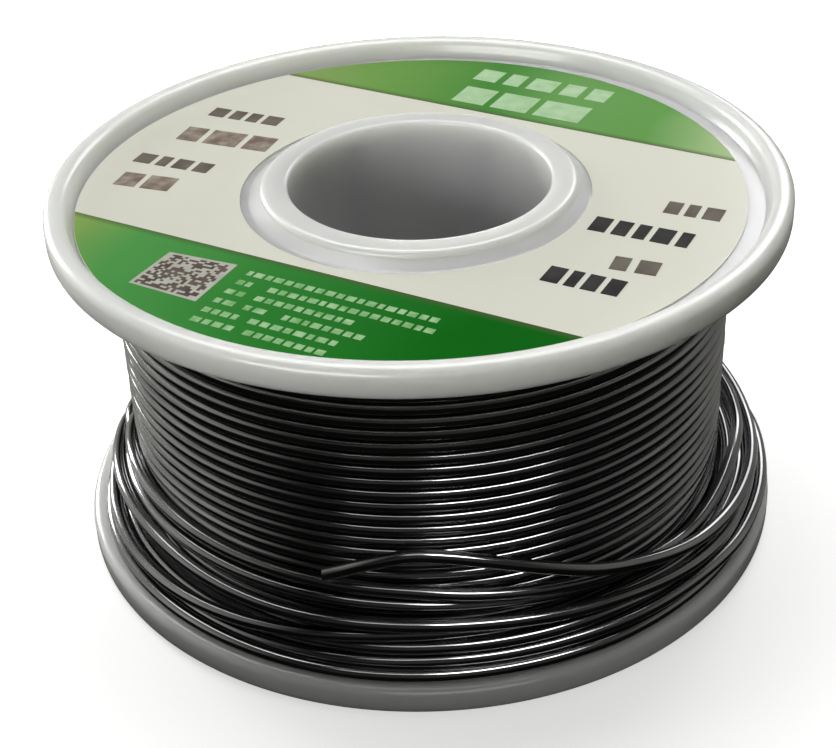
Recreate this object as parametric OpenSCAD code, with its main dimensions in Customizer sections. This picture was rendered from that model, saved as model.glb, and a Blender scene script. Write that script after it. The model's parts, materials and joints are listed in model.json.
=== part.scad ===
// Reel of solder wire: a two-piece moulded spool, a label in the recess of each flange,
// five neat layers of wire, a heap of loose turns on the lower flange, and the free end.
// Origin: centre of the underside. +Z runs up the bore, towards the flange with the main label.

/* [Spool] */
// Outside diameter of both flanges
spool_d = 56; // [50:1:70]
// Height over both flanges
spool_h = 29; // [27:1:40]
// Thickness of a flange at its rim
rim_h = 2.4; // [2.2:0.1:3.2]
// Width of the raised land round the edge of a flange
rim_land = 1.7; // [1.4:0.1:2.4]
// Depth of the recess inside the raised land
recess = 1.5; // [0.8:0.1:1.5]
// Rounding of the outer edges of a flange
rim_round = 0.7; // [0.3:0.1:0.8]

/* [Hub] */
// Bore through the hub
bore_d = 20; // [14:1:22]
// Diameter of the drum that the wire is wound on
drum_d = 37; // [34:1:38]
// Thickness of the bore tube and of the drum wall
wall = 1.5; // [1.2:0.1:1.8]
// Width of the collar's land round the mouth of the bore
collar_land = 2.1; // [1.8:0.1:2.4]
// How far the collar's face lies below the rim's
collar_drop = 0.4; // [0.2:0.1:0.6]
// Rounding of the mouth of the bore
mouth_round = 0.3; // [0.2:0.1:0.4]
// Number of ribs between the bore tube and the drum, in each half
ribs = 6; // [4:1:8]
// Thickness of a rib
rib_t = 1.2; // [1:0.1:1.6]
// Length of the spigot that joins the two halves
spigot_len = 2; // [1.5:0.5:3]

/* [Labels] */
// Outside diameter of a label
label_d = 50.6; // [50:0.1:50.6]
// Diameter of the hole in a label
label_hole_d = 26.7; // [26.7:0.1:27.2]
// Thickness of a label
label_t = 0.12; // [0.1:0.02:0.2]
// How far off centre the top label is stuck, towards -X
label_off = 0.6; // [0:0.1:0.6]
// How far its hole is punched off its own centre, towards +X
hole_off = 0.3; // [0.3:0.1:0.6]

/* [Wire] */
// Diameter of the wire
wire_d = 1; // [0.8:0.1:1]
// Number of neat layers on the drum
layers = 5; // [5:1:5]
// How far the heap of loose turns leans off centre, towards -X
heap_lean = 0.9; // [0.6:0.1:1]

/* [Hidden] */

$fn = 96;
eps = 0.01;

spool_r = spool_d / 2;
bore_r = bore_d / 2;
drum_r = drum_d / 2;
mid_z = spool_h / 2;

// Recess floor, measured from the outer face of the flange
web_t = rim_h - recess;
recess_r = spool_r - rim_land;
recess_draft = 0.3;

// Collar section: it stands on the recess floor and leans in slightly
collar_r = bore_r + collar_land;
collar_foot_r = collar_r + 0.9;
collar_round = 0.5;

// Spigot of the upper half and socket of the lower half, both inside the drum wall
spigot_t = 0.7;
spigot_gap = 0.03;
rib_stop = spigot_len + 0.5;

// Neat layers: as many turns as fit between the flanges, one wire diameter a layer
wind_h = spool_h - 2 * rim_h;
turns = floor(wind_h / wire_d - 0.1);
turn_pitch = wind_h / turns;
layer_pitch = wire_d + 0.02;
neat_r = drum_r + layers * layer_pitch;
bead_sides = 8;

// Heap of loose turns on the lower flange
heap_gap = 0.03;
heap_foot_r = spool_r - 1;
heap_foot_h = 1.5;
heap_waist_r = neat_r + 1.6;
heap_waist_h = 2.2;
heap_top_h = 8.2;

// Routes of the strands that stand clear of the heap.
// Each point is [angle round the axis in degrees, radius, height].
free_route = [
    [8, 26.2, 5.9], [0, 26.3, 5.7], [-8, 26.4, 5.6], [-16, 26.4, 5.5], [-24, 26.3, 5.5],
    [-32, 26.2, 5.7], [-40, 26.1, 6.1], [-48, 26.1, 6.9], [-56, 26, 7.8], [-64, 25.9, 8.8],
    [-72, 25.6, 10], [-80, 25.3, 11.1], [-88, 25.1, 11.9], [-94, 25, 12], [-100, 25, 11.3],
    [-105, 25, 10.4], [-108, 25.1, 9.9]
];
last_route = [
    [8, 26.2, 5.9], [18, 26.1, 6.2], [30, 26, 6.6], [45, 25.8, 7], [60, 25.7, 7.3],
    [75, 25.6, 7.5], [90, 25.6, 7.5], [105, 25.5, 7.4]
];
stray_route = [
    [-84, 24.8, 8.1], [-75, 24.8, 7.6], [-60, 24.8, 6.8], [-48, 24.8, 6.2], [-39, 24.8, 5.9],
    [-30, 24.9, 6.5], [-22, 25, 7.3], [-12, 25.1, 7.6], [0, 25, 7.3], [12, 24.9, 7],
    [26, 24.8, 7.2], [40, 24.7, 7.8], [54, 24.5, 8.6], [68, 24.4, 9.6], [80, 24.3, 10.7]
];
tube_sides = 8;
tube_step = 2.4;
nose_angles = [80, 55, 30];
// The free end's own tube starts this far from its hinge
hinge_gap = 0.55;

// ---------------------------------------------------------------- helpers

// A rectangle from [x0, y0] to [x1, y1] with its two upper corners rounded
module rounded_top(x0, y0, x1, y1, r0, r1) {
    difference() {
        translate([x0, y0]) square([x1 - x0, y1 - y0]);
        translate([x0 - eps, y1 - r0]) square([r0 + eps, r0 + eps]);
        translate([x1 - r1, y1 - r1]) square([r1 + eps, r1 + eps]);
    }
    translate([x0 + r0, y1 - r0]) circle(r = r0);
    translate([x1 - r1, y1 - r1]) circle(r = r1);
}

function polar(p) = [p[1] * cos(p[0]), p[1] * sin(p[0]), p[2]];

// Point at parameter t on a smooth curve through the points pts
function spline_point(pts, t) =
    let (n = len(pts), i = min(floor(t), n - 2), u = t - i,
         a = pts[max(i - 1, 0)], b = pts[i], c = pts[i + 1], d = pts[min(i + 2, n - 1)])
    0.5 * (2 * b + (c - a) * u + (2 * a - 5 * b + 4 * c - d) * u * u
           + (3 * b - a - 3 * c + d) * u * u * u);

function route_length(pts) =
    len(pts) < 2 ? 0 : norm(pts[1] - pts[0])
        + route_length([for (i = [1:1:len(pts) - 1]) pts[i]]);

function resample(pts, n) = [for (k = [0:n]) spline_point(pts, k * (len(pts) - 1) / n)];

function unit(v) = v / norm(v);

function tangent(pts, i) = unit(pts[min(i + 1, len(pts) - 1)] - pts[max(i - 1, 0)]);

// One ring of a swept tube, square to the route
function ring(pts, i, r) =
    let (t = tangent(pts, i), side = unit(cross(t, [0, 0, 1])), up = cross(side, t))
    [for (k = [0:tube_sides - 1])
        let (a = 360 * (k + 0.5) / tube_sides)
        pts[i] + r * (cos(a) * side + sin(a) * up)];

// Tube along the points pts, of radius radii[i] at point i
module tube(pts, radii) {
    n = len(pts);
    m = tube_sides;
    points = [for (i = [0:n - 1]) each ring(pts, i, radii[i])];
    walls = [for (i = [0:n - 2], k = [0:m - 1])
        [i * m + k, i * m + (k + 1) % m, (i + 1) * m + (k + 1) % m, (i + 1) * m + k]];
    first = [for (k = [m - 1:-1:0]) k];
    last = [for (k = [0:m - 1]) (n - 1) * m + k];
    polyhedron(points = points, faces = concat([first], walls, [last]), convexity = 4);
}

// Wire along a route of polar points, less a stretch of length skip at its start,
// or with a round nose added there
module strand(route, skip = 0, nose = false) {
    r = wire_d / 2;
    pts = [for (p = route) polar(p)];
    along = unit(pts[1] - pts[0]);
    trimmed = concat([pts[0] + skip * along], [for (i = [1:len(pts) - 1]) pts[i]]);
    body = resample(trimmed, ceil(route_length(trimmed) / tube_step));
    angles = nose ? nose_angles : [];
    tip = [for (a = angles) pts[0] - r * sin(a) * along];
    radii = concat([for (a = angles) r * cos(a)], [for (p = body) r]);
    tube(concat(tip, body), radii);
}

// ---------------------------------------------------------------- spool

// Section of one half, with its flange at the bottom and the joint at mid_z
module half_section(spigot) {
    // flange: a web, and the raised land round its edge
    translate([bore_r + wall / 2, recess]) square([spool_r - bore_r - wall / 2 - rim_round, web_t]);
    translate([0, rim_h]) mirror([0, 1]) rounded_top(recess_r, 0, spool_r, rim_h, rim_round, rim_round);
    // draft of the recess wall
    polygon([[recess_r + eps, rim_round], [recess_r + eps, recess + eps],
             [recess_r - recess_draft, recess + eps]]);
    // collar round the bore, rounded at its outer edge and at the mouth
    translate([0, recess + eps]) mirror([0, 1])
        rounded_top(bore_r, 0, collar_r, recess + eps - collar_drop, mouth_round, collar_round);
    polygon([[collar_r - eps, collar_drop + collar_round], [collar_r - eps, recess + eps],
             [collar_foot_r, recess + eps]]);
    // bore tube and drum wall
    translate([bore_r, recess]) square([wall, mid_z - recess]);
    drum_wall_section(spigot);
}

module drum_wall_section(spigot) {
    inner = drum_r - wall;
    if (spigot) {
        translate([inner, recess]) square([wall, mid_z - recess]);
        translate([inner, mid_z - eps]) square([spigot_t, spigot_len]);
    } else {
        translate([inner, recess]) square([wall, mid_z - spigot_len - recess - 0.1]);
        translate([inner + spigot_t + spigot_gap, recess])
            square([wall - spigot_t - spigot_gap, mid_z - recess]);
    }
}

module hub_ribs() {
    rib_len = drum_r - bore_r - wall;
    for (k = [0:ribs - 1])
        rotate([0, 0, k * 360 / ribs])
            translate([bore_r + wall / 2, -rib_t / 2, recess + web_t / 2])
                cube([rib_len, rib_t, mid_z - rib_stop - recess - web_t / 2]);
}

module spool_half(spigot) {
    rotate_extrude() half_section(spigot);
    hub_ribs();
}

module upper_half() {
    color("whitesmoke")
        translate([0, 0, spool_h]) mirror([0, 0, 1]) spool_half(true);
}

module lower_half() {
    color("whitesmoke") spool_half(false);
}

// ---------------------------------------------------------------- labels

module label(off, punch) {
    difference() {
        translate([off, 0, 0]) cylinder(d = label_d, h = label_t);
        translate([off + punch, 0, -1]) cylinder(d = label_hole_d, h = label_t + 2);
    }
}

module top_label() {
    color("beige")
        translate([0, 0, spool_h - recess]) label(-label_off, hole_off);
}

module bottom_label() {
    color("beige")
        translate([0, 0, recess - label_t]) label(0, 0);
}

// ---------------------------------------------------------------- wire

// Section of a layer: a plain band, or with its turns showing as beads down the outer side
module layer_section(inner, beads) {
    if (beads) {
        translate([inner, rim_h]) square([wire_d / 2, wind_h]);
        for (k = [0:turns - 1])
            translate([inner + wire_d / 2, rim_h + (k + 0.5) * turn_pitch])
                rotate([0, 0, 180 / bead_sides]) circle(d = wire_d, $fn = bead_sides);
    } else {
        translate([inner, rim_h]) square([wire_d, wind_h]);
    }
}

// One neat layer of turns side by side; only the outermost layer's beads can be seen
module wire_layer(index) {
    inner = drum_r + (index - 1) * layer_pitch + (layer_pitch - wire_d);
    color("dimgray")
        rotate_extrude() layer_section(inner, index == layers);
}

// Outline of the heap from height z0 to z1 above the lower flange, r0 and r1 wide
module heap_ring(z0, r0, z1, r1) {
    rotate_extrude()
        polygon([[drum_r, z0], [r0, z0], [r1, z1], [drum_r, z1]]);
}

// Outer shape of the loose turns that have slid down on to the lower flange
module loose_turns() {
    color("gray")
        translate([0, 0, rim_h + heap_gap])
            difference() {
                union() {
                    heap_ring(0, heap_foot_r, heap_foot_h, heap_foot_r);
                    heap_ring(heap_foot_h - eps, heap_foot_r, heap_waist_h, heap_waist_r);
                    translate([-heap_lean, 0, 0])
                        heap_ring(heap_waist_h - eps, heap_waist_r, heap_top_h, neat_r);
                }
                translate([0, 0, -1]) cylinder(r = neat_r + heap_gap, h = heap_top_h + 2);
            }
}

// Loop that stands off the neat layers at the right-hand side
module stray_turn() {
    color("gray") strand(stray_route);
}

// Last turn on the reel: it ends in a round nose at the hinge of the free end
module last_turn() {
    color("gray") strand(last_route, nose = true);
}

module free_end() {
    color("gray") strand(free_route, hinge_gap);
}

upper_half();
lower_half();
top_label();
bottom_label();
wire_layer(1);  // wire_layer_1
wire_layer(2);  // wire_layer_2
wire_layer(3);  // wire_layer_3
wire_layer(4);  // wire_layer_4
wire_layer(5);  // wire_layer_5
loose_turns();
stray_turn();
last_turn();
free_end();
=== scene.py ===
# Reel of solder wire: looks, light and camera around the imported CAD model.
# Lengths are in millimetres until they reach Blender, which gets metres. The materials, whose noise
# and bump follow the object's own coordinates, work in metres.
import json
import math

import bpy
import numpy as np
from mathutils import Matrix, Vector

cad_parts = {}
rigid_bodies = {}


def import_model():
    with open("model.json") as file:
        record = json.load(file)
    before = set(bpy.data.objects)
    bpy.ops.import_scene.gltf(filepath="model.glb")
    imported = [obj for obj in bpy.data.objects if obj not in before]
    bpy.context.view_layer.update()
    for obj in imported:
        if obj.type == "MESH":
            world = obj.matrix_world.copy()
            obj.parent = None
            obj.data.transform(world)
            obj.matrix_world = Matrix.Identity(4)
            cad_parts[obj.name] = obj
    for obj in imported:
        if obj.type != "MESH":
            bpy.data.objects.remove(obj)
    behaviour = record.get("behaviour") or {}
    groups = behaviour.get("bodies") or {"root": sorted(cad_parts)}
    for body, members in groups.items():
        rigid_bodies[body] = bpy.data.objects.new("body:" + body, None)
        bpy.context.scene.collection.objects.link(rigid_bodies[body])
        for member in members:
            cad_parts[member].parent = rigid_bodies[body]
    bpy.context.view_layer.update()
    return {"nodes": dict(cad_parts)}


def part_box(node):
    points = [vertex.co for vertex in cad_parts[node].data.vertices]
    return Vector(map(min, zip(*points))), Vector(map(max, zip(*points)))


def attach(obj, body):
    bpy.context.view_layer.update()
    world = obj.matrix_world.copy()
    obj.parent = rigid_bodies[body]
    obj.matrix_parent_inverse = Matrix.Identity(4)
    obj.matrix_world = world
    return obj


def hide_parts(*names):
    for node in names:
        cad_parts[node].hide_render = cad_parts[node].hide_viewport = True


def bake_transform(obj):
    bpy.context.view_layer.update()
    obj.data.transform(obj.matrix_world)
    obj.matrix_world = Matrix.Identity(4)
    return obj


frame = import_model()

MM = 0.001

# ---------------------------------------------------------------- sizes, as in the CAD

SPOOL_R = 28.0
SPOOL_H = 29.0
RIM_H = 2.4
BORE_R = 10.0
DRUM_R = 18.5
WIRE_R = 0.5
LAYERS = 5
LAYER_PITCH = 1.02
TURNS = 24
TURN_PITCH = (SPOOL_H - 2 * RIM_H) / TURNS
NEAT_R = DRUM_R + LAYERS * LAYER_PITCH

LABEL_TOP = float(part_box("top_label")[1].z) / MM
LABEL_R = 25.3
LABEL_X = -0.6

# Routes of the strands: [angle round the axis in degrees, radius, height]. One strand runs on from
# the crest through the stray turn, the crown and the last turn to the free end.
FREE_ROUTE = [
    [8, 26.2, 5.9], [0, 26.3, 5.7], [-8, 26.4, 5.6], [-16, 26.4, 5.5], [-24, 26.3, 5.5],
    [-32, 26.2, 5.7], [-40, 26.1, 6.1], [-48, 26.1, 6.9], [-56, 26, 7.8], [-64, 25.9, 8.8],
    [-72, 25.6, 10], [-80, 25.3, 11.1], [-88, 25.1, 11.9], [-94, 25, 12], [-100, 25, 11.3],
    [-105, 25, 10.4], [-108, 25.1, 9.9],
]
LAST_ROUTE = [
    [8, 26.2, 5.9], [18, 26.1, 6.2], [30, 26, 6.6], [45, 25.8, 7], [60, 25.7, 7.3],
    [75, 25.6, 7.5], [90, 25.6, 7.5], [105, 25.5, 7.4], [120, 25.2, 6.9], [135, 24.9, 6.2],
    [150, 24.6, 5.6],
]
CREST = [88, 24.25, 10.05]
STRAY_ROUTE = [
    [80, 24.3, 10.45], [68, 24.4, 9.6], [54, 24.5, 8.6], [40, 24.7, 7.8], [26, 24.8, 7.2],
    [12, 24.9, 7], [0, 25, 7.3], [-12, 25.1, 7.6], [-22, 25, 7.3], [-30, 24.9, 6.5],
    [-39, 24.8, 5.9], [-48, 24.8, 6.2], [-60, 24.8, 6.8], [-75, 24.8, 7.6], [-84, 24.8, 8.1],
]
CROWN_ROUTE = [
    [-84, 24.8, 8.1], [-90, 24.6, 8.3], [-97, 24.4, 8.4], [-112, 24.2, 8.45], [-130, 24.15, 8.5],
    [-150, 24.15, 8.6], [-165, 24.15, 8.5], [-180, 24.2, 7.4], [-190, 24.2, 6.3],
    [-200, 24.3, 5.6], [-210, 24.6, 5.6],
]
HINGE = FREE_ROUTE[0][0]
BLEND_FROM = 20

# ---------------------------------------------------------------- camera

# Fitted to the photograph. Angles are in radians, and the last three turn the camera off its aim
CAM_ELEVATION = 0.4495
CAM_DISTANCE = 4.5458 * SPOOL_R
CAM_LENS = 72.04
CAM_SHIFT_X = -0.0598
CAM_YAW = -0.0243
CAM_PITCH = -0.1217
CAM_ROLL = 0.0376


def turned(vector, axis, angle):
    return Matrix.Rotation(angle, 3, axis) @ vector


def make_camera():
    """In front of the reel and above it: aims at the upper end of its axis, then turns a little
    off that."""
    aim = Vector((0, 0, SPOOL_H))
    place = aim + CAM_DISTANCE * Vector((0, -math.cos(CAM_ELEVATION), math.sin(CAM_ELEVATION)))
    ahead = (aim - place).normalized()
    right = Vector((1, 0, 0))
    up = right.cross(ahead)
    ahead, right = turned(ahead, up, CAM_YAW), turned(right, up, CAM_YAW)
    ahead, up = turned(ahead, right, CAM_PITCH), turned(up, right, CAM_PITCH)
    right, up = turned(right, ahead, CAM_ROLL), turned(up, ahead, CAM_ROLL)
    data = bpy.data.cameras.new("camera")
    data.sensor_width = 36
    data.sensor_fit = "HORIZONTAL"
    data.lens = CAM_LENS
    data.shift_x = CAM_SHIFT_X
    data.clip_start = 0.005
    data.clip_end = 20
    camera = bpy.data.objects.new("camera", data)
    axes = Matrix((right, up, -ahead)).transposed()
    camera.matrix_world = Matrix.Translation(place * MM) @ axes.to_4x4()
    bpy.context.scene.collection.objects.link(camera)
    bpy.context.scene.camera = camera


make_camera()

# ---------------------------------------------------------------- routes and meshes

ROUTE_FINENESS = 12
STRAND_SIDES = 16
WIRE_SHARP = math.radians(60)
SHELL_SHARP = math.radians(40)


def polar(route):
    """Points in space for rows of (angle, radius, height)."""
    a = np.radians(route[:, 0])
    return np.stack([route[:, 1] * np.cos(a), route[:, 1] * np.sin(a), route[:, 2]], 1)


def smooth_route(route, count):
    """count points, even in parameter, on a Catmull-Rom curve through the rows of route."""
    p = np.asarray(route, float)
    t = np.linspace(0, len(p) - 1, count)
    i = np.minimum(t.astype(int), len(p) - 2)
    u = (t - i)[:, None]
    a, b = p[np.maximum(i - 1, 0)], p[i]
    c, d = p[i + 1], p[np.minimum(i + 2, len(p) - 1)]
    return 0.5 * (2 * b + (c - a) * u + (2 * a - 5 * b + 4 * c - d) * u ** 2
                  + (3 * b - a - 3 * c + d) * u ** 3)


def at_angles(route, angles):
    """Rows of (angle, radius, height) on the route at these angles."""
    fine = smooth_route(route, ROUTE_FINENESS * len(route))
    fine = fine[np.argsort(fine[:, 0])]
    r = np.interp(angles, fine[:, 0], fine[:, 1])
    z = np.interp(angles, fine[:, 0], fine[:, 2])
    return np.stack([angles, r, z], 1)


def new_object(name, verts, faces, smooth=True):
    mesh = bpy.data.meshes.new(name)
    mesh.from_pydata([tuple(v) for v in np.asarray(verts) * MM], [], faces)
    mesh.polygons.foreach_set("use_smooth", [smooth] * len(mesh.polygons))
    mesh.update()
    obj = bpy.data.objects.new(name, mesh)
    bpy.context.scene.collection.objects.link(obj)
    return obj


def tube_parts(points, sides):
    """Rings round a route, with closed ends, and a UV along and round the wire for each corner.
    The route's first and last points only aim the end rings."""
    t = np.gradient(points, axis=0)[1:-1]
    t /= np.linalg.norm(t, axis=1)[:, None]
    points = points[1:-1]
    n = len(points)
    side = np.cross(t, [0, 0, 1])
    side /= np.linalg.norm(side, axis=1)[:, None]
    up = np.cross(side, t)
    a = 2 * np.pi * np.arange(sides) / sides
    off = np.cos(a)[None, :, None] * side[:, None] + np.sin(a)[None, :, None] * up[:, None]
    verts = (points[:, None] + WIRE_R * off).reshape(-1, 3)
    i, k = np.meshgrid(np.arange(n - 1), np.arange(sides), indexing="ij")
    j = (k + 1) % sides
    faces = np.stack([i * sides + k, (i + 1) * sides + k, (i + 1) * sides + j, i * sides + j], -1)
    s = np.concatenate([[0], np.cumsum(np.linalg.norm(np.diff(points, axis=0), axis=1))])
    u0, u1, v0, v1 = s[i], s[i + 1], k / sides, (k + 1) / sides
    uv = np.stack([u0, v0, u1, v0, u1, v1, u0, v1], -1).reshape(-1, 2)
    ends = [list(range(sides)), list(range((n - 1) * sides, n * sides))[::-1]]
    uv_ends = np.concatenate([np.stack([np.full(sides, end), a / (2 * np.pi)], 1)
                              for end in (0, s[-1])])
    return verts, faces.reshape(-1, 4).tolist() + ends, np.concatenate([uv, uv_ends])


def tubes(name, strands, sides):
    """One mesh of several strands of wire."""
    verts, faces, uvs = [], [], []
    base = 0
    for points in strands:
        v, f, uv = tube_parts(points, sides)
        verts.append(v)
        faces += [[q + base for q in face] for face in f]
        uvs.append(uv)
        base += len(v)
    obj = new_object(name, np.concatenate(verts), faces)
    layer = obj.data.uv_layers.new(name="along")
    layer.data.foreach_set("uv", np.concatenate(uvs).astype(np.float32).ravel())
    obj.data.set_sharp_from_angle(angle=WIRE_SHARP)
    return obj


def piece(obj, material, body="reel", nodes=()):
    """Gives a piece its material, the CAD nodes it replaces, and the body it rides."""
    obj.data.materials.clear()
    obj.data.materials.append(material)
    if nodes:
        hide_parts(*nodes)
    if body:
        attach(obj, body)
    return obj


# ---------------------------------------------------------------- materials


class Nodes:
    """Short names for building a node tree."""

    def __init__(self, name):
        self.material = bpy.data.materials.new(name)
        self.material.use_nodes = True
        self.tree = self.material.node_tree
        self.shader = self.tree.nodes["Principled BSDF"]

    def add(self, kind, **inputs):
        node = self.tree.nodes.new(kind)
        for key, value in inputs.items():
            self.set(node, key, value)
        return node

    def set(self, node, key, value):
        """Links or sets an input, by its name, or by its number as i0, i1 and so on."""
        socket = node.inputs[int(key[1:]) if key[0] == "i" and key[1:].isdigit() else key]
        if isinstance(value, bpy.types.NodeSocket):
            self.tree.links.new(value, socket)
        else:
            socket.default_value = value

    def math(self, operation, a, b):
        node = self.add("ShaderNodeMath", i0=a, i1=b)
        node.operation = operation
        return node.outputs[0]

    def vmath(self, operation, a, b):
        node = self.add("ShaderNodeVectorMath", i0=a, i1=b)
        node.operation = operation
        return node.outputs["Value" if operation == "DOT_PRODUCT" else "Vector"]

    def place(self, scale=1):
        """Object position in metres, scaled."""
        coords = self.add("ShaderNodeTexCoord").outputs["Object"]
        return self.vmath("MULTIPLY", coords, (scale, scale, scale))

    def along(self, scale):
        """The wire's own UV, scaled: millimetres along it, and once round it."""
        uv = self.add("ShaderNodeUVMap")
        uv.uv_map = "along"
        return self.vmath("MULTIPLY", uv.outputs[0], scale)

    def noise(self, where, detail=3.0, roughness=0.5):
        node = self.add("ShaderNodeTexNoise", Vector=where, Scale=1.0, Detail=detail,
                        Roughness=roughness)
        return node.outputs["Fac"]

    def ramp(self, value, stops):
        """A colour ramp through (position, colour) stops."""
        node = self.add("ShaderNodeValToRGB", Fac=value)
        elements = node.color_ramp.elements
        while len(elements) < len(stops):
            elements.new(0.5)
        for element, (position, colour) in zip(elements, stops):
            element.position = position
            element.color = (*colour, 1)
        return node.outputs["Color"]

    def fit(self, value, low, high, to_low=0.0, to_high=1.0):
        """value, taken from the range low to high into the range to_low to to_high."""
        node = self.add("ShaderNodeMapRange", Value=value)
        for key, number in (("From Min", low), ("From Max", high),
                            ("To Min", to_low), ("To Max", to_high)):
            node.inputs[key].default_value = number
        return node.outputs[0]

    def mix(self, factor, a, b):
        """A colour between a and b. Inputs 0, 6 and 7 are the node's factor and two colours."""
        node = self.add("ShaderNodeMix")
        node.data_type = "RGBA"
        for socket, value in ((0, factor), (6, a), (7, b)):
            if isinstance(value, bpy.types.NodeSocket):
                self.tree.links.new(value, node.inputs[socket])
            else:
                node.inputs[socket].default_value = value if socket == 0 else (*value, 1)
        return node.outputs[2]

    def bump(self, height, strength, distance):
        node = self.add("ShaderNodeBump", Height=height, Strength=strength, Distance=distance)
        self.set(self.shader, "Normal", node.outputs[0])

    def finish(self, **inputs):
        """Sets the shader's inputs, with _ for a space in their names."""
        for key, value in inputs.items():
            self.set(self.shader, key.replace("_", " "), value)
        return self.material


# Most of a noise lies in this range, which is stretched to the range that a material wants. Inks
# take a narrower one, for more contrast
NOISE = (0.3, 0.7)
INK_NOISE = (0.35, 0.65)


def plastic():
    """Milky plastic. Its roughness stays above 0.274: a range that crosses that value came out of
    the denoiser in patches with sharp edges."""
    n = Nodes("spool_plastic")
    broad = n.noise(n.place(90))
    fine = n.noise(n.place(1500), 2.0)
    colour = n.ramp(broad, [(NOISE[0], (0.50, 0.505, 0.495)), (NOISE[1], (0.535, 0.54, 0.53))])
    rough = n.fit(n.noise(n.place(400)), *NOISE, 0.285, 0.34)
    n.bump(fine, 0.12, 0.00004)
    n.shader.subsurface_method = "RANDOM_WALK"
    return n.finish(Base_Color=colour, Roughness=rough, Subsurface_Weight=1.0,
                    Subsurface_Radius=(1.0, 1.0, 0.9), Subsurface_Scale=0.0045, IOR=1.49,
                    Coat_Weight=0.5, Coat_Roughness=0.12)


def solder():
    """Drawn wire: long faint streaks, and a grey cast that comes and goes."""
    n = Nodes("solder_wire")
    draw = n.noise(n.along((0.12, 9, 1)), 4.0, 0.6)
    cloud = n.noise(n.place(160))
    colour = n.mix(n.fit(draw, *NOISE), (0.17, 0.172, 0.178), (0.36, 0.36, 0.365))
    rough = n.math("ADD", n.fit(cloud, *NOISE, 0.10, 0.18), n.fit(draw, *NOISE, -0.02, 0.03))
    n.bump(draw, 0.10, 0.00001)
    return n.finish(Base_Color=colour, Roughness=rough, Metallic=1.0)


def paper():
    n = Nodes("label_paper")
    cloud = n.noise(n.place(70), 4.0)
    fibre = n.noise(n.place(900))
    colour = n.ramp(cloud, [(NOISE[0], (0.86, 0.86, 0.74)), (NOISE[1], (0.89, 0.89, 0.78))])
    n.bump(fibre, 0.10, 0.00003)
    return n.finish(Base_Color=colour, Roughness=n.fit(fibre, *NOISE, 0.38, 0.5), IOR=1.45)


# Directions square to the label's bands and along them, the first as an angle too, and how far each
# band's straight edge lies from the axis
BAND_ACROSS = (0.5, 0.8660254, 0)
BAND_ALONG = (0.8660254, -0.5, 0)
ACROSS_ANGLE = 60
UPPER_EDGE = 14.4
LOWER_EDGE = -14.5

# In metres: how far a band's colours run each way, and where its edge line fades out
BAND_REACH = 0.022
EDGE_LINE = (0.0001, 0.0007)


def band(name, edge, inward, stops):
    """Printed band: its colour runs along it, with a thin dark line at its straight edge."""
    n = Nodes(name)
    spot = n.place()
    across = n.vmath("DOT_PRODUCT", spot, BAND_ACROSS)
    along = n.vmath("DOT_PRODUCT", spot, BAND_ALONG)
    wave = n.noise(n.place(60), 2.0)
    along = n.math("ADD", along, n.fit(wave, *NOISE, -0.002, 0.002))
    colour = n.ramp(n.fit(along, -BAND_REACH, BAND_REACH), stops)
    depth = n.math("MULTIPLY", n.math("SUBTRACT", across, edge * MM), inward)
    line = n.fit(depth, *EDGE_LINE, 1.0, 0.0)
    colour = n.mix(n.math("MULTIPLY", line, 0.65), colour, (0.10, 0.12, 0.05))
    return n.finish(Base_Color=colour, Roughness=0.6, Specular_IOR_Level=0.03)


def ink(name, dark, light, scale=500.0):
    """Print of uneven strength."""
    n = Nodes(name)
    colour = n.mix(n.fit(n.noise(n.place(scale)), *INK_NOISE), dark, light)
    return n.finish(Base_Color=colour, Roughness=0.6, Specular_IOR_Level=0.2)


PLASTIC = plastic()
SOLDER = solder()
PAPER = paper()

# ---------------------------------------------------------------- free end

# How far past its ends, in degrees, a strand's two aiming points lie
AIM_STEP = 0.5


def laps_later(route, laps=1):
    """The same route that many laps further down the winding."""
    return [[angle - 360 * laps, r, z] for angle, r, z in route]


TOP_RUN = ([CREST] + STRAY_ROUTE + CROWN_ROUTE[1:]
           + laps_later(LAST_ROUTE[-2::-1] + FREE_ROUTE[1:]))


def cut(high, low, step=2.0):
    """The topmost strand from one angle down to another, with a point more at each end, which
    only aims it."""
    angles = np.append(np.arange(high, low + 0.5 * step, -step), low)
    angles = np.concatenate([[high + AIM_STEP], angles, [low - AIM_STEP]])
    return polar(at_angles(TOP_RUN, angles))


def make_free_end():
    points = cut(BLEND_FROM - 360, FREE_ROUTE[-1][0] - 360, step=0.8)
    obj = tubes("free_strand", [points], STRAND_SIDES)
    points = points[1:-1]
    piece(obj, SOLDER, None, ["free_end"])
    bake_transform(obj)


make_free_end()

# ---------------------------------------------------------------- neat layers

# Points in a turn and sides of the wire, in the layer that shows and in the hidden ones
TOP_LAYER = (96, 12)
HIDDEN_LAYER = (48, 8)
LAYER_START = 140

# How far the layer that shows strays from a true winding
SWAY_OUT = 0.035
SWAY_UP = 0.02


def sway(turn, slow, quick, phase=0.0):
    """An uneven wave along the winding, from -1 to 1."""
    return np.sin(slow * turn) * np.sin(quick * turn * 2 * math.pi + phase)


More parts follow.
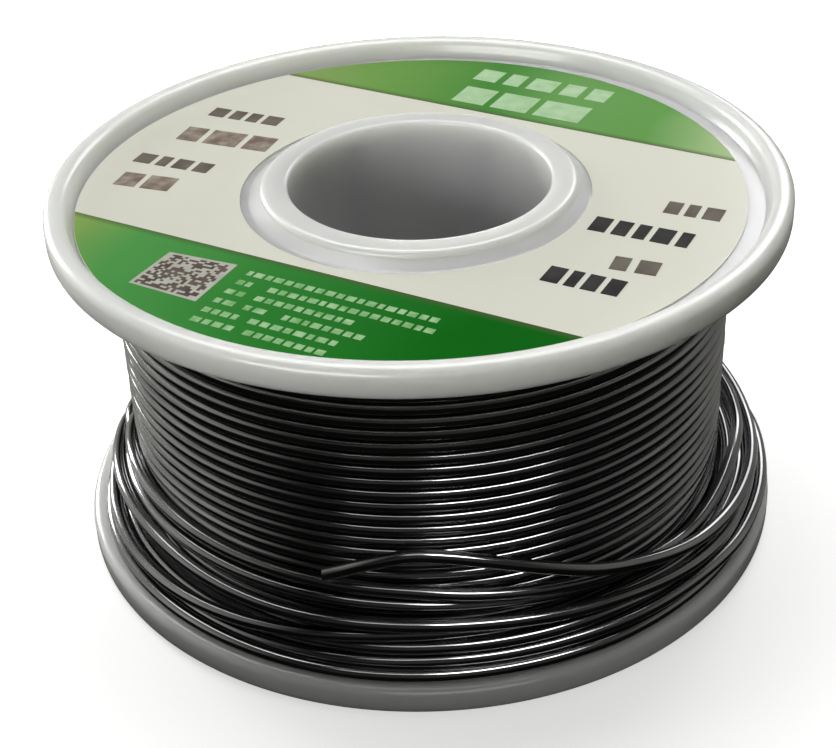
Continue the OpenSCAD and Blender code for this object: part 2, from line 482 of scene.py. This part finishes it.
def make_layer(index):
    """A layer wound back and forth: odd layers run down, even layers run up."""
    top = index == LAYERS
    steps, sides = TOP_LAYER if top else HIDDEN_LAYER
    turn = np.linspace(0, TURNS, TURNS * steps + 1)
    climb = np.clip(turn - 0.5, 0, TURNS - 1) * TURN_PITCH
    low, high = RIM_H + TURN_PITCH / 2, SPOOL_H - RIM_H - TURN_PITCH / 2
    z = high - climb if index % 2 else low + climb
    r = np.full_like(turn, DRUM_R + index * LAYER_PITCH - WIRE_R)
    if top:
        r += SWAY_OUT * (1 + sway(turn, 2.3, 0.73, 1.1))
        z += SWAY_UP * sway(turn, 5.1, 1.31)
    route = np.stack([LAYER_START - 360 * turn, r, z], 1)
    obj = tubes(f"layer_{index}_turns", [polar(route)], sides)
    piece(obj, SOLDER, "reel", [f"wire_layer_{index}"])


for layer in range(1, LAYERS + 1):
    make_layer(layer)

# ---------------------------------------------------------------- loose turns

# The turns are worked out at every SLOT degrees. Each row of HOOPS is one turn, as its radius and
# height at the angles in KNOTS. CLIMB takes the last turn up to the crest
SLOT = 5
SLOTS = 360 // SLOT
FIRST = 158
KNOTS = [158, 100, 45, 5, -20, -40, -60, -90, -120, -145, -165, -180]
HOOPS = [
    [(24.2, 2.95), (24.9, 2.95), (26.2, 2.95), (26.8, 2.95), (26.9, 2.95), (27.0, 2.95),
     (27.0, 2.95), (26.95, 2.95), (26.95, 2.95), (26.8, 2.95), (26.5, 2.95), (26.2, 2.95)],
    [(25.25, 2.95), (25.9, 3.0), (26.6, 3.7), (26.75, 3.9), (26.9, 3.9), (27.0, 3.9),
     (26.5, 3.8), (26.4, 3.75), (26.0, 2.95), (25.8, 2.95), (25.5, 2.95), (25.25, 2.95)],
    [(24.7, 3.85), (25.2, 3.6), (25.8, 3.4), (26.0, 3.4), (26.1, 3.5), (26.1, 3.7),
     (26.3, 4.8), (26.1, 4.7), (25.4, 3.9), (25.2, 3.9), (25.0, 3.9), (24.9, 3.9)],
    [(25.7, 3.8), (25.6, 4.3), (25.5, 4.5), (25.5, 4.7), (25.6, 4.8), (25.6, 4.8),
     (25.5, 5.0), (25.4, 5.6), (26.2, 4.5), (26.4, 3.9), (26.1, 3.9), (25.8, 3.8)],
    [(24.2, 4.75), (25.2, 4.9), (26.0, 5.0), (26.35, 4.9), (26.7, 4.6), (26.9, 4.7),
     (26.1, 5.5), (25.9, 6.7), (25.8, 6.2), (25.5, 7.2), (25.0, 7.4), (24.7, 6.4)],
    [(25.2, 4.7), (24.6, 5.2), (24.5, 5.0), (24.5, 4.9), (24.4, 4.8), (24.2, 4.9),
     (24.3, 5.9), (24.65, 7.4), (24.6, 7.4), (24.6, 7.6), (24.5, 7.2), (24.2, 6.2)],
]
CLIMB_ANGLES = [FIRST, 120, CREST[0]]
CLIMB = [(24.7, 5.6), (24.15, 8.0), (24.25, 10.1)]

# How the turns settle: the rounds, and how many of them no longer smooth; how strongly a turn
# straightens and goes back to its first place; how far apart the middles of two wires stay; and the
# room that the wire's middle has
ROUNDS = 320
FIRM_ROUNDS = 80
STIFFNESS = 0.3
PULL_BACK = 0.06
TURN_GAP = 1.012
STRAND_GAP = 1.02
FREE_END_GAP = 1.3
INNERMOST = NEAT_R + WIRE_R + 0.02
OUTERMOST = 27.3
LOWEST = RIM_H + WIRE_R + 0.03
TINY = 1e-9


def settle(path, fixed):
    """Moves a strand's (radius, height) rows apart, so that no two turns cut into each other.
    Row i lies at slot i mod SLOTS; fixed rows are (slot, radius, height, gap). The last rounds
    only push apart, and no longer smooth."""
    aim = path.copy()
    n = len(path)
    laps = [(lap, n - lap) for lap in range(SLOTS, n, SLOTS)]
    slots = np.arange(n) % SLOTS
    touching = [(np.nonzero(slots == int(s))[0], np.array([r, z]), gap) for s, r, z, gap in fixed]
    for step in range(ROUNDS):
        if step < ROUNDS - FIRM_ROUNDS:
            bend = np.zeros_like(path)
            bend[1:-1] = path[:-2] + path[2:] - 2 * path[1:-1]
            path = path + STIFFNESS * bend + PULL_BACK * (aim - path)
        for lap, count in laps:
            away = path[lap:] - path[:count]
            far = np.linalg.norm(away, axis=1)[:, None] + TINY
            push = 0.5 * np.maximum(TURN_GAP - far, 0) * away / far
            path[lap:] += push
            path[:count] -= push
        for rows, place, gap in touching:
            away = path[rows] - place
            far = np.linalg.norm(away, axis=1)[:, None] + TINY
            path[rows] += np.maximum(gap - far, 0) * away / far
        path[:, 0] = np.clip(path[:, 0], INNERMOST, OUTERMOST)
        path[:, 1] = np.maximum(path[:, 1], LOWEST)
    return path


def slot_of(angle):
    return int(round((FIRST - angle) / SLOT)) % SLOTS


def start_route():
    """The loose turns as first laid, one after another, at every slot."""
    angles, places = [], []
    for lap, hoop in enumerate(HOOPS):
        angles += [angle - 360 * lap for angle in KNOTS]
        places += hoop
    angles += [angle - 360 * len(HOOPS) for angle in CLIMB_ANGLES]
    places += CLIMB
    route = np.array([(angle, r, z) for angle, (r, z) in zip(angles, places)])
    return at_angles(route, np.arange(FIRST, angles[-1] - TINY, -SLOT, dtype=float))


def top_strand_rows():
    """The topmost strand as fixed rows, with room for the free end, which moves."""
    angles = np.arange(FIRST, TOP_RUN[-1][0], -SLOT, dtype=float)
    rows = at_angles(TOP_RUN, angles[angles <= STRAY_ROUTE[0][0]])
    return [(slot_of(angle), r, z, FREE_END_GAP if angle < HINGE - 360 else STRAND_GAP)
            for angle, r, z in rows]


def make_loose_turns():
    start = start_route()
    path = settle(start[:, 1:], top_strand_rows())
    onward = laps_later(STRAY_ROUTE[:3], len(HOOPS))
    turns = np.vstack([np.column_stack([start[:, 0], path]), onward])
    end = onward[0][0]
    angles = np.append(np.arange(FIRST, end + 1, -0.5 * SLOT), [end, end - AIM_STEP])
    crown = cut(CROWN_ROUTE[0][0], CROWN_ROUTE[-1][0])
    obj = tubes("loose_strands", [polar(at_angles(turns, angles)), crown], STRAND_SIDES)
    piece(obj, SOLDER, "reel", ["loose_turns"])


make_loose_turns()

stray = tubes("stray_strand", [cut(STRAY_ROUTE[0][0], STRAY_ROUTE[-1][0])], STRAND_SIDES)
piece(stray, SOLDER, "reel", ["stray_turn"])
last = tubes("last_strand", [cut(CROWN_ROUTE[-1][0], BLEND_FROM - 360)], STRAND_SIDES)
piece(last, SOLDER, "reel", ["last_turn"])

# ---------------------------------------------------------------- spool and labels


def prism(outline, low, high):
    """A flat plate with this outline, given anticlockwise: vertices and faces."""
    n = len(outline)
    verts = [(x, y, low) for x, y in outline] + [(x, y, high) for x, y in outline]
    faces = [list(range(n))[::-1], list(range(n, 2 * n))]
    faces += [[k, (k + 1) % n, n + (k + 1) % n, n + k] for k in range(n)]
    return verts, faces


RIM_LAND = 1.7
RECESS = 1.5
RIM_ROUND = 0.7
WALL = 1.5
COLLAR_R = BORE_R + 2.1
COLLAR_DROP = 0.4
COLLAR_ROUND = 0.5
MOUTH_ROUND = 0.3
SPIGOT_LEN = 2.0
SPIGOT_T = 0.7
SOCKET_FREE_END = 0.1
SOCKET_FREE_SIDE = 0.03
RIBS = 6
RIB_T = 1.2
RIB_SINK = 0.5
RIB_SHORT = 0.5
SEGMENTS = 192

# Small slopes where the recess's floor meets the rim and the collar: (radial, height)
RIM_FOOT = (0.24, 0.12)
RIM_FOOT_END = 0.36
COLLAR_FOOT = (0.8, 0.1)
COLLAR_FOOT_END = 1.0


def arc(x, y, r, start, end, steps=6):
    """Points on an arc round (x, y), from one angle in degrees to another."""
    turn = np.radians(np.linspace(start, end, steps + 1))
    return [(x + r * math.cos(a), y + r * math.sin(a)) for a in turn]


def half_outline(spigot):
    """Section of one half as (radius, depth below the flange's outer face)."""
    mid = SPOOL_H / 2
    inner = DRUM_R - WALL
    rim_in = SPOOL_R - RIM_LAND
    out = [(BORE_R, mid), (BORE_R + WALL, mid), (BORE_R + WALL, RIM_H), (inner, RIM_H)]
    if spigot:
        out += [(inner, mid + SPIGOT_LEN), (inner + SPIGOT_T, mid + SPIGOT_LEN),
                (inner + SPIGOT_T, mid), (DRUM_R, mid)]
    else:
        seat = mid - SPIGOT_LEN - SOCKET_FREE_END
        socket = inner + SPIGOT_T + SOCKET_FREE_SIDE
        out += [(inner, seat), (socket, seat), (socket, mid), (DRUM_R, mid)]
    out += [(DRUM_R, RIM_H)]
    out += arc(SPOOL_R - RIM_ROUND, RIM_H - RIM_ROUND, RIM_ROUND, 90, 0)
    out += arc(SPOOL_R - RIM_ROUND, RIM_ROUND, RIM_ROUND, 0, -90)
    out += arc(rim_in + RIM_ROUND, RIM_ROUND, RIM_ROUND, -90, -180)
    out += [(rim_in - RIM_FOOT[0], RECESS - RIM_FOOT[1]), (rim_in - RIM_FOOT_END, RECESS)]
    out += [(COLLAR_R + COLLAR_FOOT_END, RECESS),
            (COLLAR_R + COLLAR_FOOT[0], RECESS - COLLAR_FOOT[1])]
    out += arc(COLLAR_R - COLLAR_ROUND, COLLAR_DROP + COLLAR_ROUND, COLLAR_ROUND, 0, -90)
    out += arc(BORE_R + MOUTH_ROUND, COLLAR_DROP + MOUTH_ROUND, MOUTH_ROUND, -90, -180)
    return out


def turned_half(name, spigot, node):
    """One half as a turned solid, with the ribs between the bore tube and the drum. The half with
    the spigot is the upper one, and is turned over."""
    outline = half_outline(spigot)
    n = len(outline)
    verts, faces = [], []
    for k in range(SEGMENTS):
        a = 2 * math.pi * k / SEGMENTS
        verts += [(r * math.cos(a), r * math.sin(a), z) for r, z in outline]
    for k in range(SEGMENTS):
        j = (k + 1) % SEGMENTS
        for i in range(n):
            m = (i + 1) % n
            faces.append([k * n + i, k * n + m, j * n + m, j * n + i])
    low, high = RIM_H - RIB_SINK, SPOOL_H / 2 - SPIGOT_LEN - RIB_SHORT
    for k in range(RIBS):
        a = 2 * math.pi * k / RIBS
        ca, sa = math.cos(a), math.sin(a)
        box = [(BORE_R + WALL / 2, -RIB_T / 2), (DRUM_R - WALL / 2, -RIB_T / 2),
               (DRUM_R - WALL / 2, RIB_T / 2), (BORE_R + WALL / 2, RIB_T / 2)]
        v, f = prism([(x * ca - y * sa, x * sa + y * ca) for x, y in box], low, high)
        faces += [[q + len(verts) for q in face] for face in f]
        verts += v
    if spigot:
        verts = [(x, y, SPOOL_H - z) for x, y, z in verts]
        faces = [face[::-1] for face in faces]
    obj = new_object(name, verts, faces)
    obj.data.set_sharp_from_angle(angle=SHELL_SHARP)
    piece(obj, PLASTIC, "reel", [node])


turned_half("upper_shell", True, "upper_half")
turned_half("lower_shell", False, "lower_half")
for node in ("top_label", "bottom_label"):
    label = frame["nodes"][node]
    label.data.materials.clear()
    label.data.materials.append(PAPER)


# Print lies a hair above the label, each kind at its own height, and reaches a little into it
PRINT_SINK = 0.02
BAND_RISE = 0.015
PATCH_RISE = 0.024
MARK_RISE = 0.030
MOSAIC_RISE = 0.034
LABEL_INSET = 0.03
SEGMENT_POINTS = 96


def plates(name, outlines, rise, material):
    """Printed shapes as one piece of thin plates."""
    verts, faces = [], []
    for outline in outlines:
        v, f = prism(outline, LABEL_TOP - PRINT_SINK, LABEL_TOP + rise)
        faces += [[q + len(verts) for q in face] for face in f]
        verts += v
    obj = new_object(name, verts, faces, smooth=False)
    piece(obj, material)


def segment(distance, sign):
    """Outline of the part of the label beyond a chord square to BAND_ACROSS."""
    r = LABEL_R - LABEL_INSET
    shift = LABEL_X * BAND_ACROSS[0]
    half = math.acos((abs(distance) - sign * shift) / r)
    middle = math.radians(ACROSS_ANGLE if sign > 0 else ACROSS_ANGLE + 180)
    turn = np.linspace(middle - half, middle + half, SEGMENT_POINTS)
    return [(LABEL_X + r * math.cos(a), r * math.sin(a)) for a in turn]


UPPER_GREEN = band("upper_band", UPPER_EDGE, 1, [
    (0.0, (0.36, 0.49, 0.17)), (0.22, (0.18, 0.40, 0.09)), (0.42, (0.08, 0.30, 0.055)),
    (0.60, (0.18, 0.42, 0.12)), (0.76, (0.16, 0.41, 0.10)), (0.92, (0.56, 0.72, 0.39)),
    (1.0, (0.58, 0.74, 0.41))])
LOWER_GREEN = band("lower_band", LOWER_EDGE, -1, [
    (0.0, (0.34, 0.50, 0.13)), (0.16, (0.10, 0.38, 0.09)), (0.5, (0.03, 0.25, 0.035)),
    (0.8, (0.002, 0.16, 0.006)), (1.0, (0.002, 0.14, 0.006))])
plates("upper_band", [segment(UPPER_EDGE, 1)], BAND_RISE, UPPER_GREEN)
plates("lower_band", [segment(LOWER_EDGE, -1)], BAND_RISE, LOWER_GREEN)


def row_of_blocks(start, end, height, widths, gap):
    """A row of generic blocks from start to end, standing height to the left of the row."""
    start, end = np.array(start, float), np.array(end, float)
    length = np.linalg.norm(end - start)
    along = (end - start) / length
    up = np.array([-along[1], along[0]])
    scale = length / (sum(widths) + gap * (len(widths) - 1))
    out, at = [], 0.0
    for width in widths:
        a, b = at * scale, (at + width) * scale
        corners = ((a, 0), (b, 0), (b, height), (a, height))
        out.append([tuple(start + along * s + up * t) for s, t in corners])
        at += width + gap
    return out


def row_plates(name, rows, material):
    """One piece from rows of (start, end, block height, widths, gap)."""
    plates(name, [block for row in rows for block in row_of_blocks(*row)], MARK_RISE, material)


def word(letters, seed):
    """Widths of a word's blocks, a little uneven."""
    return [1.0 + 0.25 * math.sin(seed + 2.4 * k) for k in range(letters)]


row_plates("print_brown", [
    ((-17.4, 15.0), (-11.6, 12.3), 1.6, word(4, 1), 0.4),
    ((-22.6, 6.6), (-16.6, 3.9), 1.6, word(4, 2), 0.4),
    ((17.7, -5.6), (21.6, -7.4), 1.9, word(3, 3), 0.4),
    ((12.8, -13.7), (15.9, -15.0), 1.9, word(2, 4), 0.4),
], ink("ink_brown", (0.13, 0.11, 0.085), (0.20, 0.17, 0.14)))
row_plates("print_faded", [
    ((-19.6, 10.5), (-12.2, 7.4), 2.5, word(3, 5), 0.22),
    ((-23.6, 2.6), (-19.3, 1.0), 2.2, word(2, 6), 0.25),
], ink("ink_faded", (0.22, 0.16, 0.12), (0.42, 0.36, 0.30), 900))
row_plates("print_black", [
    ((11.9, -7.8), (18.6, -11.2), 2.2, word(5, 7), 0.4),
    ((7.9, -14.9), (12.9, -17.6), 2.2, word(4, 8), 0.4),
], ink("ink_black", (0.012, 0.012, 0.012), (0.035, 0.035, 0.032)))
row_plates("title_pale", [
    ((4.9, 20.6), (15.6, 14.5), 2.4, word(5, 9), 0.35),
    ((2.9, 16.3), (13.0, 10.6), 3.2, word(3, 10), 0.18),
], ink("ink_pale_green", (0.42, 0.68, 0.36), (0.55, 0.78, 0.48), 700))

# Small print: the runs of blocks in each line, from and to, along the band
SMALL_LINES = [
    [(0, 15.1)], [(0, 1.2), (2.6, 15.5)], [(0, 1.5), (2.4, 10.1)],
    [(0, 1.6), (2.4, 4.1), (5.5, 11.7)], [(0, 2.8), (3.7, 10.5)], [(0, 3.3), (4.2, 10.4)],
]
SMALL_START = np.array([-12.35, -12.6])
SMALL_PITCH = 1.35
SMALL_HEIGHT = 0.62
SMALL_GAP = 0.34
SMALL_BLOCKS = 1.25


def small_rows():
    """Rows of small print, with SMALL_BLOCKS blocks to the millimetre."""
    rows = []
    for line, runs in enumerate(SMALL_LINES):
        left = SMALL_START - SMALL_PITCH * line * np.array(BAND_ACROSS[:2])
        for first, last in runs:
            count = max(2, round(SMALL_BLOCKS * (last - first)))
            widths = [0.6 + 0.5 * abs(math.sin(1.7 * k + line)) for k in range(count)]
            ends = [tuple(left + at * np.array(BAND_ALONG[:2])) for at in (first, last)]
            rows.append((*ends, SMALL_HEIGHT, widths, SMALL_GAP))
    return rows


row_plates("small_print", small_rows(),
           ink("ink_small", (0.20, 0.50, 0.16), (0.44, 0.72, 0.38), 900))

# Patch with a random mosaic, which carries no code: its corners, and the mosaic's cells and margin
# as shares of its side
PATCH = [np.array(p) for p in ((-20.4, -13.0), (-15.5, -16.0), (-13.0, -11.1), (-18.0, -8.8))]
PATCH_MARGIN = 0.05
CELLS = 20
CELL_STEP = (1 - 2 * PATCH_MARGIN) / CELLS
CELL_FILL = 0.96
CELL_CHANCE = 0.5
MOSAIC_SEED = 11


def in_patch(u, v):
    """The point at shares u and v of the patch's sides."""
    a, b, c, d = PATCH
    return tuple((1 - u) * (1 - v) * a + u * (1 - v) * b + u * v * c + (1 - u) * v * d)


def cell(u0, v0, u1, v1):
    return [in_patch(u0, v0), in_patch(u1, v0), in_patch(u1, v1), in_patch(u0, v1)]


def mosaic():
    """About half of the cells, picked at random."""
    dice = np.random.default_rng(MOSAIC_SEED)
    side = CELL_STEP * CELL_FILL
    cells = []
    for i in range(CELLS):
        for j in range(CELLS):
            if dice.random() < CELL_CHANCE:
                u, v = PATCH_MARGIN + i * CELL_STEP, PATCH_MARGIN + j * CELL_STEP
                cells.append(cell(u, v, u + side, v + side))
    return cells


plates("patch_ground", [cell(0, 0, 1, 1)], PATCH_RISE,
       ink("ink_patch", (0.50, 0.50, 0.42), (0.60, 0.60, 0.52)))
plates("patch_mosaic", mosaic(), MOSAIC_RISE,
       ink("ink_mosaic", (0.09, 0.06, 0.05), (0.17, 0.13, 0.11), 700))

# ---------------------------------------------------------------- floor and light

FLOOR_REACH = 6000
FLOOR_DROP = 0.05


def make_floor():
    """A pale floor that glows a little, and is not mirrored or bounced on to the reel."""
    n = Nodes("floor")
    tone = n.noise(n.place(3), 2.0)
    colour = n.ramp(tone, [(NOISE[0], (0.88, 0.88, 0.87)), (NOISE[1], (0.90, 0.90, 0.89))])
    material = n.finish(Base_Color=colour, Roughness=0.9, Emission_Color=(1, 1, 1, 1),
                        Emission_Strength=0.6)
    verts = [(x * FLOOR_REACH, y * FLOOR_REACH, 0) for x, y in ((-1, -1), (1, -1), (1, 1), (-1, 1))]
    floor = new_object("floor", verts, [[0, 1, 2, 3]], smooth=False)
    floor.data.materials.append(material)
    floor.location.z = -FLOOR_DROP * MM
    floor.visible_diffuse = False
    floor.visible_glossy = False


def softbox(name, azimuth, elevation, distance, size, power, only):
    """A soft light of this size, in this direction from the middle of the reel, which it faces.
    With only, it lights nothing but the pieces whose names start so."""
    aim = Vector((0, 0, SPOOL_H / 2))
    a, e = math.radians(azimuth), math.radians(elevation)
    place = distance * Vector((math.cos(a) * math.cos(e), math.sin(a) * math.cos(e), math.sin(e)))
    data = bpy.data.lights.new(name, "AREA")
    data.shape = "RECTANGLE"
    data.size, data.size_y = size[0] * MM, size[1] * MM
    data.energy = power
    light = bpy.data.objects.new(name, data)
    light.location = (aim + place) * MM
    light.rotation_euler = (-place).to_track_quat("-Z", "Y").to_euler()
    bpy.context.scene.collection.objects.link(light)
    if only:
        lit = bpy.data.collections.new(name + "_lights")
        for obj in bpy.context.scene.objects:
            if obj.name.startswith(only):
                lit.objects.link(obj)
        light.light_linking.receiver_collection = lit


# The world, as levels of light that rise towards a direction. It is grey to the left and right,
# dim in front and dark below
WORLD_BASE = 0.008
WORLD_COLOUR = (1.0, 0.99, 0.92, 1)
LEFT_SIDE = ((-0.94, 0.34, 0), 0.35, 0.95, 0.62)
RIGHT_SIDE = ((0.94, 0.34, 0), 0.35, 0.95, 0.30)
SIDES_RISE = ((0, 0.8, 1), -0.2, 0.15, 1.0)
FRONT_SIDE = ((0.25, -0.97, 0), 0.2, 0.9, 0.075)
FRONT_RISE = ((0, 0, 1), 0.02, 0.3, 1.0)


def make_world():
    world = bpy.data.worlds.new("world")
    world.use_nodes = True
    tree = world.node_tree
    back = tree.nodes["Background"]
    where = tree.nodes.new("ShaderNodeTexCoord").outputs["Generated"]

    def lobe(direction, low, high, level):
        """Rises to level as the view turns to direction."""
        dot = tree.nodes.new("ShaderNodeVectorMath")
        dot.operation = "DOT_PRODUCT"
        dot.inputs[1].default_value = direction
        tree.links.new(where, dot.inputs[0])
        fit = tree.nodes.new("ShaderNodeMapRange")
        fit.interpolation_type = "SMOOTHSTEP"
        tree.links.new(dot.outputs["Value"], fit.inputs["Value"])
        for key, number in (("From Min", low), ("From Max", high),
                            ("To Min", 0), ("To Max", level)):
            fit.inputs[key].default_value = number
        return fit.outputs[0]

    def combine(operation, a, b):
        node = tree.nodes.new("ShaderNodeMath")
        node.operation = operation
        tree.links.new(a, node.inputs[0])
        if isinstance(b, float):
            node.inputs[1].default_value = b
        else:
            tree.links.new(b, node.inputs[1])
        return node.outputs[0]

    sides = combine("ADD", lobe(*LEFT_SIDE), lobe(*RIGHT_SIDE))
    sides = combine("MULTIPLY", sides, lobe(*SIDES_RISE))
    front = combine("MULTIPLY", lobe(*FRONT_SIDE), lobe(*FRONT_RISE))
    level = combine("ADD", combine("ADD", sides, front), WORLD_BASE)
    tree.links.new(level, back.inputs["Strength"])
    back.inputs["Color"].default_value = WORLD_COLOUR
    bpy.context.scene.world = world


WIRES = ("layer_", "loose_strands", "stray_strand", "last_strand", "free_strand")

# Name, azimuth and elevation in degrees, distance, size, power in watts, and what it alone lights
LIGHTS = [
    ("overhead", 102, 68, 520, (520, 340), 1.88, ()),
    ("low_front", -122, 14, 520, (400, 180), 1.6, ("upper_shell",)),
    ("base_fill", -84, 14, 520, (400, 180), 0.40, ("lower_shell",)),
    ("strip", -90, 66, 520, (420, 130), 0.26, WIRES + ("lower_shell",)),
    ("key", -62, 62, 420, (220, 90), 0.72, WIRES),
    ("left_back", 136, 10, 450, (120, 160), 0.64, ()),
    ("right_back", 65, 30, 450, (160, 160), 0.26, ()),
]

make_floor()
make_world()
for light in LIGHTS:
    softbox(*light)
bpy.context.scene.view_settings.view_transform = "Standard"
